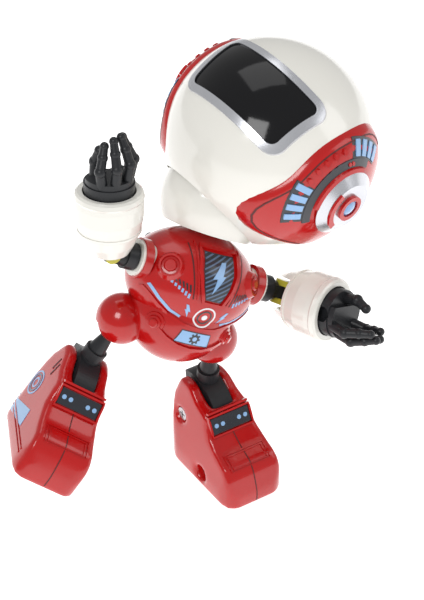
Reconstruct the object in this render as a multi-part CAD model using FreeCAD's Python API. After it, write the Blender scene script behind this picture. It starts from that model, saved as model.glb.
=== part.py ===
import FreeCAD, Part
import math
import os

# Toy robot with ball hips, hinged ankles, turning arms and a big helmet head.
# Units are millimetres.  The frame's origin is the middle of the left sole, +Z is up,
# -Y is the way the left toe points and +X is the robot's left.
os.makedirs("parts", exist_ok=True)
V = FreeCAD.Vector
X, Y, Z = V(1, 0, 0), V(0, 1, 0), V(0, 0, 1)
SIDES = (("left", 1), ("right", -1))

# ---- pose at rest, in whole degrees ------------------------------------------------
LEFT_LEG = {"swing": 28, "spread": -25, "turn": 18, "ankle": -9}
RIGHT_LEG = {"swing": 26, "spread": 7, "turn": -13, "ankle": -6}
LEFT_ARM = {"raise": 3, "bend": 66, "wrist": 10}
RIGHT_ARM = {"raise": 77, "bend": 66, "wrist": -20}
NECK = {"yaw": -55, "pitch": -29, "roll": 19}

# ---- foot --------------------------------------------------------------------------
FOOT_LENGTH, FOOT_WIDTH, FOOT_TOP_WIDTH, FOOT_HEIGHT = 32.0, 18.6, 12.6, 27.4
PIN_Y, PIN_Z, PIN_R = 10.5, 16.0, 1.3
FOOT_WALL = 1.3
KNUCKLE_R, KNUCKLE_WIDTH = 11.7, 6.2
KNUCKLE_BACK, KNUCKLE_FRONT = 32, 100
KNUCKLE_GAP = 0.3
SHELL_SCREW_Y, SHELL_SCREW_Z = -1.6, 4.2
SCREW_HEAD_R, SCREW_WELL_R, SCREW_SHANK_R = 1.9, 2.3, 0.9

# ---- leg ---------------------------------------------------------------------------
LEG_LENGTH = 26.5
COLLAR_LOW, COLLAR_HIGH, COLLAR_R = 12.1, 14.8, 3.1
STEM_FOOT_R, STEM_NECK_R, STEM_NECK_Z = 2.5, 1.5, 20.8
SPIGOT_R, SPIGOT_TOP = 1.3, 17.0
HIP_BALL_R, HIP_CUP_IN, HIP_CUP_OUT, HIP_SOCKET_R, HIP_HOUSING_R = 4.4, 4.48, 5.2, 5.28, 6.8
HIP_CENTRE = V(14.0, 3.0, 0.0)
SWING_MID, SWING_HALF = 26, 11
SPREAD_IN, SPREAD_OUT = -20, 50

# ---- torso -------------------------------------------------------------------------
CHEST_Z, CHEST_X, CHEST_Y, CHEST_TALL = 14.6, 17.9, 14.9, 13.8
BELLY_Z, BELLY_X, BELLY_Y, BELLY_TALL = 6.0, 14.4, 12.4, 13.6
TORSO_TOP, TORSO_WALL = CHEST_Z + CHEST_TALL, 1.5
SHOULDER = V(18.0, -2.5, 17.4)
TORSO_SCREWS = ((-8.0, 20.5), (8.0, 20.5), (0.0, -1.0))
BUSH_R, BUSH_BORE = 4.3, 2.35
NECK_POST_R, NECK_HOLE_R = 2.6, 2.66
NECK_PIVOT_Z = 36.6
CUP_MOUTH_R, CUP_MOUTH_DEPTH = 18.0, 9.0
SOCKET_MOUTH_R, SOCKET_MOUTH_TOP_R = 13.0, 2.6
NECK_BALL_R, NECK_CUP_IN, NECK_CUP_OUT, NECK_SOCKET_IN, NECK_SOCKET_OUT = 3.8, 3.88, 4.5, 4.58, 5.8

# ---- arm, built straight along +X from the shoulder ----------------------------------
ARM_SHAFT_R, ARM_COLLAR_R = 2.28, 3.6
ELBOW_X = 8.4
ELBOW_EYE_R, ELBOW_EYE_HALF, ELBOW_PIN_R = 2.5, 1.6, 0.75
CUFF_BACK, CUFF_RIM, CUFF_MOUTH_R = 0.4, 17.4, 6.8
CUFF_PROFILE = ((0.4, 5.4), (3.0, 6.7), (6.4, 7.9), (10.4, 8.8), (14.2, 8.8), (16.4, 8.5), (17.4, 7.8))
WRIST_R, WRIST_IN, WRIST_OUT = 6.5, 14.2, 21.6
SPINDLE_R = 1.6

# ---- head, built level with its centre at its own origin -----------------------------
HEAD_X, HEAD_Y, HEAD_Z, HEAD_WALL = 27.8, 26.8, 27.2, 1.8
HEAD_FROM_PIVOT = V(0, -3.6, 20.2)
HEAD_SPLIT_Y = -8.0
NECK_MOUTH_R = 15.4
GUARD_IN, GUARD_OUT, GUARD_LOW, GUARD_HIGH = 13.4, 14.6, -8.0, 4.6
VISOR_TOP_W, VISOR_BOTTOM_W, VISOR_H, VISOR_MID_Z, VISOR_CORNER = 32.4, 30.4, 15.8, 0.6, 2.4
BEZEL_W = 2.0
NECK_PILLAR_R = 2.8
EAR_R, EAR_PROUD = 17.0, 0.9
EAR_DISC_R, EAR_DISC_X = 9.2, 29.9
DOOR_W, DOOR_H, DOOR_Z = 17.0, 13.0, -2.0
CELL_R, CELL_T, CELL_COUNT = 5.8, 4.0, 3


# ---- small helpers -------------------------------------------------------------------
def cyl(radius, low, high, axis=Z, at=V(0, 0, 0)):
    """A cylinder along axis, from low to high measured from the point at."""
    return Part.makeCylinder(radius, high - low, at + axis * low, axis)


def cone(r_low, r_high, low, high, axis=Z, at=V(0, 0, 0)):
    """A cone along axis, from low to high measured from the point at."""
    return Part.makeCone(r_low, r_high, high - low, at + axis * low, axis)


def box(x0, x1, y0, y1, z0, z1):
    """A box between two corners."""
    return Part.makeBox(x1 - x0, y1 - y0, z1 - z0, V(x0, y0, z0))


def ball(radius, at=V(0, 0, 0)):
    """A sphere."""
    return Part.makeSphere(radius, at)


def ellipsoid(rx, ry, rz, at=V(0, 0, 0)):
    """An ellipsoid with its axes along X, Y and Z."""
    matrix = FreeCAD.Matrix()
    matrix.scale(rx, ry, rz)
    shape = Part.makeSphere(1.0).transformGeometry(matrix)
    shape.translate(at)
    return shape


def prism(points, low, high, axis):
    """A closed outline of (a, b) pairs pushed along axis: X uses (y, z), Y uses (x, z), Z uses (x, y)."""
    if axis == X:
        corners = [V(low, a, b) for a, b in points]
    elif axis == Y:
        corners = [V(a, low, b) for a, b in points]
    else:
        corners = [V(a, b, low) for a, b in points]
    face = Part.Face(Part.makePolygon(corners + corners[:1]))
    return face.extrude(axis * (high - low))


def revolved(points, axis=X, at=V(0, 0, 0)):
    """A turned solid whose outline is (distance along axis, radius) pairs; it closes along the axis."""
    outline = [(points[0][0], 0.0)] + list(points) + [(points[-1][0], 0.0)]
    if axis == X:
        corners = [at + V(a, r, 0) for a, r in outline]
    else:
        corners = [at + V(r, 0, a) for a, r in outline]
    return Part.Face(Part.makePolygon(corners + corners[:1])).revolve(at, axis, 360)


def polar(radius, degrees):
    """A point (a, b) at an angle measured from the second axis towards the first."""
    angle = math.radians(degrees)
    return radius * math.sin(angle), radius * math.cos(angle)


def turn(axis, degrees):
    """A rotation about an axis through the origin."""
    return FreeCAD.Placement(V(0, 0, 0), FreeCAD.Rotation(axis, degrees))


def shift(vector):
    """A translation."""
    return FreeCAD.Placement(vector, FreeCAD.Rotation())


def mirrored(shape):
    """The same piece for the other side of the robot."""
    return shape.mirror(V(0, 0, 0), X)


def sided(point, side):
    """A left-hand point, on the side asked for."""
    return V(point.x * side, point.y, point.z)


# ---- pose: one placement per moving body -----------------------------------------------
def leg_frames(torso, side, pose):
    """Placements of the hip cup, leg, knuckle and foot on one side of a placed torso."""
    hip = torso.multiply(shift(sided(HIP_CENTRE, side)))
    cup = hip.multiply(turn(X, pose["swing"]))
    leg = cup.multiply(turn(Y, pose["spread"]))
    knuckle = leg.multiply(turn(Z, pose["turn"])).multiply(shift(V(0, 0, -LEG_LENGTH)))
    foot = knuckle.multiply(turn(X, pose["ankle"])).multiply(shift(V(0, -PIN_Y, -PIN_Z)))
    return cup, leg, knuckle, foot


def arm_frames(torso, side, pose):
    """Placements of the upper arm, forearm and hand; an arm is built along +X, then turned for its side."""
    shoulder = torso.multiply(shift(sided(SHOULDER, side))).multiply(turn(X, -pose["raise"]))
    forearm = shoulder.multiply(shift(V(ELBOW_X * side, 0, 0))).multiply(turn(Z, -pose["bend"] * side))
    hand = forearm.multiply(turn(X, pose["wrist"]))
    return shoulder, forearm, hand


def body_frames():
    """Every moving body's placement, with the left foot standing on the origin."""
    still = leg_frames(FreeCAD.Placement(), 1, LEFT_LEG)[3]
    torso = still.inverse()
    frames = {"torso": torso}
    for (name, side), pose in zip(SIDES, (LEFT_LEG, RIGHT_LEG)):
        cup, leg, knuckle, foot = leg_frames(torso, side, pose)
        frames.update({"hip_cup_" + name: cup, "leg_" + name: leg,
                       "knuckle_" + name: knuckle, "foot_" + name: foot})
    for (name, side), pose in zip(SIDES, (LEFT_ARM, RIGHT_ARM)):
        shoulder, forearm, hand = arm_frames(torso, side, pose)
        frames.update({"arm_" + name: shoulder, "forearm_" + name: forearm, "hand_" + name: hand})
    yaw = torso.multiply(shift(V(0, 0, NECK_PIVOT_Z))).multiply(turn(Z, NECK["yaw"]))
    pitch = yaw.multiply(turn(X, NECK["pitch"]))
    head = pitch.multiply(turn(Y, NECK["roll"])).multiply(shift(HEAD_FROM_PIVOT))
    frames.update({"neck_post": yaw, "neck_cup": pitch, "head": head})
    return frames


# ---- foot ------------------------------------------------------------------------------
def foot_solid(inset):
    """The boot's outer form, or the same form with every side moved in by inset."""
    half, top = FOOT_WIDTH / 2 - inset, FOOT_TOP_WIDTH / 2 - inset
    toe, heel = -FOOT_LENGTH / 2 + inset, FOOT_LENGTH / 2 - inset
    roof = FOOT_HEIGHT - inset
    side_view = [(heel, inset), (heel, 17), (heel - 1.2, 22), (PIN_Y + 2.4, roof - 0.5), (PIN_Y, roof),
                 (PIN_Y - 3.2, roof - 0.6), (PIN_Y - 6.6, roof - 3.2), (-0.2 + inset, 22.8 - inset),
                 (-1.2 + inset, 22.2 - inset), (-3.4 + inset, 17.4 - inset), (-7.4 + inset, 14.6 - inset),
                 (-12.4, 12.4 - inset), (toe + 1.8, 9.6 - inset), (toe, 4.4), (toe, inset)]
    front_view = [(-half, inset), (half, inset), (half, 5), (top + 1.2, 19), (top, roof),
                  (-top, roof), (-top - 1.2, 19), (-half, 5)]
    plan = [(-half + 3, toe), (half - 3, toe), (half - 0.8, toe + 1.4), (half, toe + 4.5), (half, heel - 5),
            (half - 1.4, heel - 1.6), (half - 4, heel), (-half + 4, heel), (-half + 1.4, heel - 1.6),
            (-half, heel - 5), (-half, toe + 4.5), (-half + 0.8, toe + 1.4)]
    body = prism(side_view, -half, half, X)
    body = body.common(prism(front_view, toe, heel, Y))
    return body.common(prism(plan, inset, roof, Z))


def foot_shell():
    """The hollow boot with its ankle slot, before it is split down the middle."""
    slot = KNUCKLE_WIDTH / 2 + KNUCKLE_GAP
    pin = V(0, PIN_Y, PIN_Z)
    body = foot_solid(0)
    body = body.cut(cyl(KNUCKLE_R + KNUCKLE_GAP, -slot, slot, X, pin))
    body = body.cut(box(-slot, slot, PIN_Y - 5, FOOT_LENGTH, PIN_Z + 5.4, FOOT_HEIGHT + 5))
    under_ankle = cyl(KNUCKLE_R + KNUCKLE_GAP + FOOT_WALL, -slot - FOOT_WALL, slot + FOOT_WALL, X, pin)
    cavity = foot_solid(FOOT_WALL).common(box(-FOOT_WIDTH, FOOT_WIDTH, -20, 20, FOOT_WALL, PIN_Z + 3))
    body = body.cut(cavity.cut(under_ankle))
    posts = cyl(PIN_R + 1.6, -FOOT_WIDTH / 2 + 1.8, -slot, X, pin)
    posts = posts.fuse(cyl(PIN_R + 1.6, slot, FOOT_WIDTH / 2 - 1.8, X, pin))
    screw = V(0, SHELL_SCREW_Y, SHELL_SCREW_Z)
    posts = posts.fuse(cyl(SCREW_WELL_R + 0.8, -FOOT_WIDTH / 2 + 1.6, FOOT_WIDTH / 2 - 2.2, X, screw))
    return body.fuse(posts.common(foot_solid(0.6)))


def foot_pieces(side):
    """Both halves of one foot, the two screws in it, and the ankle pin; screws enter from the inner side."""
    pin, screw = V(0, PIN_Y, PIN_Z), V(0, SHELL_SCREW_Y, SHELL_SCREW_Z)
    body = foot_shell()
    wells = cyl(SCREW_WELL_R, -FOOT_WIDTH, -6.1, X, screw).fuse(cyl(SCREW_WELL_R, -FOOT_WIDTH, -6.1, X, pin))
    body = body.cut(wells)
    body = body.cut(cyl(PIN_R, -6.2, 5.8, X, pin))
    body = body.cut(cyl(SCREW_SHANK_R, -6.2, 5.0, X, screw))
    inner = body.common(box(-20, 0, -20, 20, -1, 30))
    outer = body.common(box(0, 20, -20, 20, -1, 30))
    ankle_pin = cyl(PIN_R, -6.1, 5.8, X, pin).fuse(screw_head(V(-6.1, PIN_Y, PIN_Z)))
    shell_screw = cyl(SCREW_SHANK_R, -6.1, 5.0, X, screw).fuse(screw_head(V(-6.1, screw.y, screw.z)))
    pieces = [inner, outer, shell_screw, ankle_pin]
    return pieces if side == 1 else [mirrored(piece) for piece in pieces]


def screw_head(at):
    """A cross-head screw's head that faces -X."""
    head = cyl(SCREW_HEAD_R, -1.0, 0.0, X, at)
    cross = box(-1.1, -0.5, -1.2, 1.2, -0.22, 0.22).fuse(box(-1.1, -0.5, -0.22, 0.22, -1.2, 1.2))
    cross.translate(at)
    return head.cut(cross)


# ---- leg -------------------------------------------------------------------------------
def knuckle():
    """The black curved plate that fills the foot's slot; its frame's origin is the ankle pin."""
    half = KNUCKLE_WIDTH / 2
    rim = [polar(KNUCKLE_R, a) for a in range(-KNUCKLE_FRONT, KNUCKLE_BACK + 1, 4)]
    plate = prism([(0.0, -3.4)] + [(-3.4, 0.0)] + rim + [(3.4, 0.0)], -half, half, X)
    plate = plate.fuse(cyl(3.4, -half, half, X))
    plate = plate.fuse(cyl(COLLAR_R - 0.1, KNUCKLE_R - 1.2, COLLAR_LOW - 0.1))
    plate = plate.fuse(cyl(SPIGOT_R, KNUCKLE_R - 1.2, SPIGOT_TOP - 0.2))
    return plate.cut(cyl(PIN_R + 0.05, -half - 1, half + 1, X))


def leg_stem():
    """The stem with its collar, in the ankle pin's frame: it ends in a thin neck inside the hip ball."""
    stem = cyl(COLLAR_R, COLLAR_LOW, COLLAR_HIGH)
    stem = stem.fuse(cone(STEM_FOOT_R, STEM_NECK_R, COLLAR_HIGH, STEM_NECK_Z))
    stem = stem.fuse(cyl(STEM_NECK_R, STEM_NECK_Z - 0.2, LEG_LENGTH))
    return stem.cut(cyl(SPIGOT_R + 0.06, COLLAR_LOW - 1, SPIGOT_TOP))


def hip_ball():
    """The bare metal ball on the stem's neck, centred on the hip."""
    return ball(HIP_BALL_R).cut(cyl(STEM_NECK_R, -HIP_BALL_R - 1, 0.0))


def fan(inner, outer, r_low, r_high):
    """A flat fan in the XZ plane that opens downwards between two spread angles."""
    near = [polar(r_low, a) for a in (inner, outer)]
    far = [polar(r_high, a) for a in range(outer, inner - 1, -5)]
    return [(a, -b) for a, b in near + far]


def hip_cup(side):
    """The thin cup round the hip ball, with a slot for the stem to swing sideways in."""
    cup = ball(HIP_CUP_OUT).cut(ball(HIP_CUP_IN))
    reach = 19
    slot = prism(fan(SPREAD_IN - reach, SPREAD_OUT + reach, 1.0, 9.0), -1.8, 1.8, Y)
    cup = cup.cut(slot)
    return cup if side == 1 else mirrored(cup)


def hip_opening(side):
    """The space the stem sweeps through the housing wall, about the hip's centre."""
    reach = 19
    corners = fan(SPREAD_IN - reach, SPREAD_OUT + reach, 3.4, 11.0)
    face = Part.Face(Part.makePolygon([V(a, 0, b) for a, b in corners + corners[:1]]))
    face.rotate(V(0, 0, 0), X, SWING_MID - SWING_HALF - 17)
    opening = face.revolve(V(0, 0, 0), X, 2 * (SWING_HALF + 17))
    if side == -1:
        opening = mirrored(opening)
    opening.translate(sided(HIP_CENTRE, side))
    return opening


# ---- torso -------------------------------------------------------------------------------
def torso_form(inset):
    """The torso's pear form, or the same form with its surface moved in by inset."""
    chest = ellipsoid(CHEST_X - inset, CHEST_Y - inset, CHEST_TALL - inset, V(0, 0, CHEST_Z))
    return chest.fuse(ellipsoid(BELLY_X - inset, BELLY_Y - inset, BELLY_TALL - inset, V(0, 0, BELLY_Z)))


def torso_body():
    """The hollow body with its round hip housings, before it is split front from rear."""
    outside = torso_form(0)
    body = outside.cut(torso_form(TORSO_WALL))
    boss = cyl(BUSH_R + 1.2, -4.0, 0.0, X, SHOULDER).common(torso_form(0.1))
    collar = cyl(BUSH_R + 1.0, -2.0, 0.2, X, SHOULDER)
    body = body.fuse(boss).fuse(mirrored(boss)).fuse(collar).fuse(mirrored(collar))
    body = body.fuse(cyl(NECK_POST_R + 2.2, TORSO_TOP - 7.0, TORSO_TOP - 0.2))
    for _, side in SIDES:
        body = body.fuse(ball(HIP_HOUSING_R, sided(HIP_CENTRE, side)))
    for _, side in SIDES:
        body = body.cut(ball(HIP_SOCKET_R, sided(HIP_CENTRE, side)))
        body = body.cut(hip_opening(side))
        body = body.cut(cyl(BUSH_R, -5, 5, X, sided(SHOULDER, side)))
    body = body.cut(cyl(NECK_HOLE_R, TORSO_TOP - 9, TORSO_TOP + 1))
    return body.cut(cyl(NECK_POST_R + 1.06, TORSO_TOP - 5.1, TORSO_TOP - 2.9))


def torso_shells():
    """Front and rear die-cast shells; the seam runs down both sides."""
    body = torso_body()
    rear = body.common(box(-30, 30, 0, 30, -20, 45))
    for screw in torso_screws():
        rear = rear.cut(screw)
    return body.common(box(-30, 30, -30, 0, -20, 45)), biggest(rear)


def torso_screws():
    """Three cross-head screws in the back."""
    screws = []
    outside = torso_form(0)
    for x, z in TORSO_SCREWS:
        y = Part.makeLine(V(x, 0, z), V(x, 30, z)).common(outside).BoundBox.YMax
        head = screw_head(V(0, 0, 0)).fuse(cyl(SCREW_SHANK_R, -0.1, 3.0, X))
        head.rotate(V(0, 0, 0), Z, -90)
        head.translate(V(x, y - 0.1, z))
        screws.append(head)
    return screws


def shoulder_bush():
    """The pale ring that lines the shoulder hole, in the shoulder's frame."""
    ring = cyl(BUSH_R, -3.6, 0.3, X).fuse(cyl(BUSH_R + 0.5, 0.2, 0.9, X))
    return ring.cut(cyl(BUSH_BORE, -5, 2, X))


def neck_post():
    """The post that turns in the torso, with the neck ball on top; its origin is the ball's centre."""
    drop = TORSO_TOP - NECK_PIVOT_Z
    post = cyl(NECK_POST_R, drop - 6.4, drop + 3.0).fuse(cyl(NECK_POST_R + 1.0, drop - 5.0, drop - 3.0))
    return post.fuse(cone(NECK_POST_R, 1.7, drop + 3.0, -2.6)).fuse(ball(NECK_BALL_R))


def neck_guard():
    """The white bowl round the neck that closes the helmet's mouth; the neck pivot is its origin."""
    bowl = ball(GUARD_OUT).cut(ball(GUARD_IN))
    bowl = bowl.common(box(-20, 20, -20, 20, GUARD_LOW, GUARD_HIGH))
    web = cyl(GUARD_IN, -7.2, -6.0).common(ball(GUARD_IN + 0.4))
    return bowl.fuse(web).cut(cyl(NECK_POST_R, -9, 0))


def neck_cup():
    """The thin cup on the neck ball that the head nods with."""
    cup = ball(NECK_CUP_OUT).cut(ball(NECK_CUP_IN))
    return cup.cut(cone(CUP_MOUTH_R, 0.5, -CUP_MOUTH_DEPTH, -0.3))


# ---- arm ---------------------------------------------------------------------------------
def upper_arm():
    """Shoulder shaft, collar and elbow eye, along +X from the shoulder."""
    arm = cyl(ARM_SHAFT_R, -5.4, 1.5, X).fuse(cyl(3.4, -5.4, -3.8, X))
    arm = arm.fuse(cyl(ARM_COLLAR_R, 1.2, 4.2, X))
    arm = arm.fuse(cone(ARM_COLLAR_R - 0.5, ELBOW_EYE_R, 4.1, ELBOW_X - 2.0, X))
    arm = arm.fuse(box(ELBOW_X - 3.6, ELBOW_X, -ELBOW_EYE_R, ELBOW_EYE_R, -ELBOW_EYE_HALF, ELBOW_EYE_HALF))
    arm = arm.fuse(cyl(ELBOW_EYE_R, -ELBOW_EYE_HALF, ELBOW_EYE_HALF, Z, V(ELBOW_X, 0, 0)))
    clear = box(ELBOW_X - 2.3, ELBOW_X + 4, -4, 4, ELBOW_EYE_HALF, 4)
    clear = clear.fuse(box(ELBOW_X - 2.3, ELBOW_X + 4, -4, 4, -4, -ELBOW_EYE_HALF))
    arm = arm.cut(clear)
    return arm.cut(cyl(ELBOW_PIN_R + 0.05, -5, 5, Z, V(ELBOW_X, 0, 0)))


def elbow_fork():
    """The yellow fork inside the cuff that holds the elbow pin; the elbow is its origin, +X the wrist."""
    cheek = 1.5
    fork = cyl(2.1, -ELBOW_EYE_HALF - 0.1 - cheek, ELBOW_EYE_HALF + 0.1 + cheek, Z)
    fork = fork.fuse(box(0, 6.8, -2.1, 2.1, -ELBOW_EYE_HALF - 0.1 - cheek, ELBOW_EYE_HALF + 0.1 + cheek))
    fork = fork.cut(box(-4, 3.1, -4, 4, -ELBOW_EYE_HALF - 0.1, ELBOW_EYE_HALF + 0.1))
    fork = fork.fuse(cyl(4.4, 5.4, 8.2, X)).fuse(cyl(3.0, 8.1, 13.4, X))
    fork = fork.cut(cyl(SPINDLE_R + 0.06, 8.3, 14.0, X))
    return fork.cut(cyl(ELBOW_PIN_R, -6, 6, Z))


def elbow_pin():
    """The steel pin across the elbow."""
    return cyl(ELBOW_PIN_R, -ELBOW_EYE_HALF - 1.6, ELBOW_EYE_HALF + 1.6, Z)


def forearm_cuff():
    """The white barrel round the forearm, open at the hand and cut away over the elbow's inner side."""
    inner = [(CUFF_BACK - 0.1, 4.2), (1.8, 4.8), (5.3, 6.1), (8.2, 7.1)]
    cuff = revolved(CUFF_PROFILE).cut(revolved(inner))
    cuff = cuff.cut(cyl(4.4, 5.4, 9.8, X))
    cuff = cuff.cut(cyl(3.05, 7.8, CUFF_RIM, X)).cut(cyl(CUFF_MOUTH_R, WRIST_IN - 0.2, CUFF_RIM + 1, X))
    return cuff.cut(box(-4.5, 6.2, -10, 0, -4.4, 4.4))


def finger(points, radii):
    """A finger of straight phalanges with a round knuckle at every joint."""
    shape = None
    for start, end, r0, r1 in zip(points, points[1:], radii, radii[1:]):
        run = end - start
        bone = Part.makeCone(r0 * 0.86, r1 * 0.86, run.Length, start, run)
        piece = bone.fuse(ball(r0, start)).fuse(ball(r1, end))
        shape = piece if shape is None else shape.fuse(piece)
    return shape


def hand():
    """Wrist barrel, palm and five fingers, along +X; the elbow is its origin."""
    palm_x = WRIST_OUT - 0.6
    body = cyl(WRIST_R, WRIST_IN, WRIST_OUT - 1.6, X)
    body = body.fuse(cyl(WRIST_R - 0.3, WRIST_OUT - 1.7, WRIST_OUT, X).common(
        box(WRIST_OUT - 2, WRIST_OUT + 1, -8, 8, -8, 2.6)))
    body = body.fuse(cyl(SPINDLE_R, 8.8, WRIST_IN + 0.1, X))
    body = body.cut(cyl(2.0, 0, 3.0, Y, V(18.2, -WRIST_R - 0.6, 0)))
    fingers = []
    for angle, length, lean in ((62, 10.8, 8), (22, 11.8, 4), (-20, 11.4, 4), (-60, 10.0, 8)):
        y, z = polar(WRIST_R - 1.9, angle + 180)
        y2, z2 = polar(WRIST_R - 1.0 + lean * 0.08, angle + 180)
        points = [V(palm_x - 1.5, y, z), V(palm_x + length * 0.42, y2, z2),
                  V(palm_x + length * 0.74, y * 0.98, z * 0.98), V(palm_x + length, y * 0.72, z * 0.72)]
        fingers.append(finger(points, (1.7, 1.5, 1.35, 1.15)))
    points = [V(palm_x - 2.0, 1.2, WRIST_R - 2.4), V(palm_x + 2.6, 0.6, WRIST_R - 1.7),
              V(palm_x + 6.0, 0.2, WRIST_R - 2.9)]
    fingers.append(finger(points, (1.8, 1.6, 1.3)))
    for shape in fingers:
        body = body.fuse(shape)
    return body


# ---- head --------------------------------------------------------------------------------
def rounded_outline(top_w, bottom_w, height, mid_z, corner):
    """A rounded four-sided face in the XZ plane at y = 0."""
    low, high = mid_z - height / 2, mid_z + height / 2
    corners = [V(-bottom_w / 2, 0, low), V(bottom_w / 2, 0, low)]
    corners += [V(top_w / 2, 0, high), V(-top_w / 2, 0, high)]
    edges = []
    starts, ends = [], []
    for i, point in enumerate(corners):
        before, after = corners[i - 1] - point, corners[(i + 1) % 4] - point
        before.normalize()
        after.normalize()
        first, last = point + before * corner, point + after * corner
        middle = point + (before + after) * corner * 0.29
        edges.append(Part.Arc(first, middle, last).toShape())
        starts.append(first)
        ends.append(last)
    for i in range(4):
        edges.append(Part.makeLine(ends[i], starts[(i + 1) % 4]))
    return Part.Face(Part.Wire(Part.__sortEdges__(edges)))


def visor_prism(grow, low, high):
    """The visor's outline, grown all round, pushed from y = low to y = high."""
    face = rounded_outline(VISOR_TOP_W + 2 * grow, VISOR_BOTTOM_W + 2 * grow, VISOR_H + 2 * grow,
                           VISOR_MID_Z, VISOR_CORNER + grow)
    face.translate(V(0, low, 0))
    return face.extrude(V(0, high - low, 0))


def head_form(inset):
    """The helmet's outer form, or the same form moved in by inset."""
    return ellipsoid(HEAD_X - inset, HEAD_Y - inset, HEAD_Z - inset)


def head_shells():
    """Front and rear helmet shells with the visor window, ear seats, neck mouth and battery door hole."""
    body = head_form(0).cut(head_form(HEAD_WALL))
    pivot = HEAD_FROM_PIVOT * -1
    bridge = cyl(NECK_SOCKET_OUT, -2.0, NECK_SOCKET_OUT + 2.4, Z, pivot)
    bridge = bridge.fuse(cyl(NECK_PILLAR_R, NECK_SOCKET_OUT, 2 * HEAD_Z, Z, pivot))
    bridge = bridge.cut(cone(SOCKET_MOUTH_R, SOCKET_MOUTH_TOP_R, -CUP_MOUTH_DEPTH, 0.0, Z, pivot))
    body = body.cut(ball(NECK_MOUTH_R, pivot))
    body = body.fuse(bridge.common(head_form(0.4)))
    body = body.cut(ball(NECK_SOCKET_IN, pivot))
    body = body.cut(visor_prism(0, -40, -5))
    body = body.cut(visor_prism(BEZEL_W, -40, -5).cut(head_form(1.0)))
    for side in (1, -1):
        body = body.cut(cyl(EAR_DISC_R - 1.5, 15, 40, X * side))
        body = body.cut(cyl(EAR_R, 10, 40, X * side).cut(head_form(0.9)))
    body = body.cut(box(-DOOR_W / 2, DOOR_W / 2, 5, 40, DOOR_Z - DOOR_H / 2, DOOR_Z + DOOR_H / 2))
    front = body.common(box(-40, 40, -40, HEAD_SPLIT_Y, -40, 40))
    rear = body.common(box(-40, 40, HEAD_SPLIT_Y, 40, -40, 40))
    return biggest(front), biggest(rear)


def biggest(shape):
    """The largest solid of a shape, without loose slivers."""
    return max(shape.Solids, key=lambda solid: solid.Volume)


def visor_lens():
    """The glossy dark window."""
    return biggest(visor_prism(0, -40, -5).common(head_form(-0.1).cut(head_form(1.7))))


def visor_bezel():
    """The silver frame round the window."""
    ring = visor_prism(BEZEL_W, -40, -5).cut(visor_prism(0, -41, -4))
    return biggest(ring.common(head_form(-0.5).cut(head_form(1.0))))


def ear_cover(side):
    """The red cover over one ear, a cap of the helmet's own curve standing a little proud."""
    cap = cyl(EAR_R, 10, 40, X).common(head_form(-EAR_PROUD).cut(head_form(0.9)))
    cap = biggest(cap.cut(cyl(EAR_DISC_R - 3.0, 5, 40, X)))
    return cap if side == 1 else mirrored(cap)


def ear_disc(side):
    """The silver dish in the middle of an ear cover."""
    dish = cone(EAR_DISC_R, EAR_DISC_R - 2.6, EAR_DISC_X - 2.0, EAR_DISC_X, X)
    dish = dish.cut(head_form(-EAR_PROUD)).fuse(cyl(EAR_DISC_R - 3.1, EAR_DISC_X - 6.0, EAR_DISC_X - 0.2, X))
    dish = biggest(dish.cut(cyl(3.6, EAR_DISC_X - 3.0, EAR_DISC_X + 1, X)))
    return dish if side == 1 else mirrored(dish)


def ear_boss(side):
    """The red ring that holds the ear lens."""
    ring = cyl(3.6, EAR_DISC_X - 3.0, EAR_DISC_X + 0.9, X).cut(cyl(2.4, EAR_DISC_X - 2.0, EAR_DISC_X + 2, X))
    return ring if side == 1 else mirrored(ring)


def ear_lens(side):
    """The blue dome in the middle of the ear."""
    lens = cyl(2.4, EAR_DISC_X - 2.0, EAR_DISC_X + 0.2, X)
    crown = ball(4.0, V(EAR_DISC_X - 2.9, 0, 0)).common(cyl(2.4, EAR_DISC_X - 1, EAR_DISC_X + 2, X))
    lens = lens.fuse(crown)
    return lens if side == 1 else mirrored(lens)


def battery_parts():
    """Door, its screw and the three button cells behind it, in the back of the head."""
    gap = 0.15
    half_w, half_h = DOOR_W / 2 - gap, DOOR_H / 2 - gap
    hole = box(-half_w, half_w, 5, 40, DOOR_Z - half_h, DOOR_Z + half_h)
    door = biggest(hole.common(head_form(0).cut(head_form(1.4))))
    surface = HEAD_Y * math.sqrt(1 - (4.2 / HEAD_Z) ** 2)
    at = V(0, surface, 2.2)
    door = door.cut(cyl(1.4, -0.7, 2.0, Y, at)).cut(cyl(0.8, -4.0, 2.0, Y, at))
    screw = cyl(1.3, -0.7, -0.1, Y, at).fuse(cyl(0.75, -3.4, -0.6, Y, at))
    cells = [cyl(CELL_R, 0, CELL_T, Y, V(0, 7.4 + i * (CELL_T + 0.3), DOOR_Z)) for i in range(CELL_COUNT)]
    return door, screw, Part.Compound(cells)


def electronics():
    """Circuit board behind the visor, two light-emitting diodes and the loudspeaker."""
    board = box(-13, 13, -13.0, -11.6, -8, 12)
    lights = [cyl(1.5, -16.6, -13.0, Y, V(x, 0, VISOR_MID_Z)).fuse(ball(1.5, V(x, -16.6, VISOR_MID_Z)))
              for x in (-6.5, 6.5)]
    mouth = V(0, -6.6, 0)
    speaker = cyl(6.5, 14.0, 17.0, Z, mouth).fuse(cyl(3.0, 17.0, 19.5, Z, mouth))
    return board, Part.Compound(lights), speaker


# ---- assembly ----------------------------------------------------------------------------
def save(name, shape, frame):
    """Put a piece in its body's place and write it."""
    placed = shape.copy()
    placed.Placement = frame.multiply(placed.Placement)
    placed.exportStep("parts/" + name + ".step")


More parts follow.
